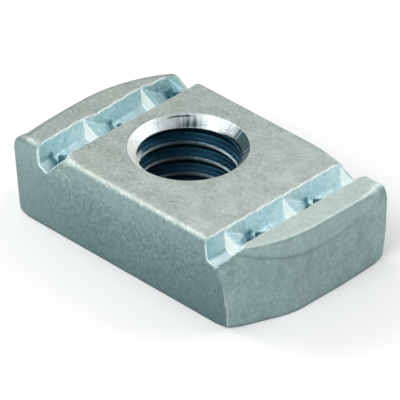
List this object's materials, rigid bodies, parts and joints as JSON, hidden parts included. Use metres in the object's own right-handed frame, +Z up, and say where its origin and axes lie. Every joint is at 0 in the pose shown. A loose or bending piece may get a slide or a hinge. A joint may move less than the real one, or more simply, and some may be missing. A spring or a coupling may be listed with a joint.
{
  "type": "plate nut",
  "caption": "Twist-in channel nut: plated steel block with a tapped hole, toothed grooves across its top for a channel's lips, and rounded opposite corners.",
  "frame": {"origin": "middle of the flat base, on the base's plane", "axes": "+X along the nut, across the channel; +Y along the grooves and the channel; +Z up from the base to the toothed top"},
  "size_m": [0.0346, 0.0206, 0.0096],
  "materials": {
    "zinc_plated_steel": "bright zinc plating, satin and faintly blue, with a fine grain"
  },
  "bodies": {
    "root": {"nut_body": "zinc_plated_steel"}
  },
  "joints": []
}
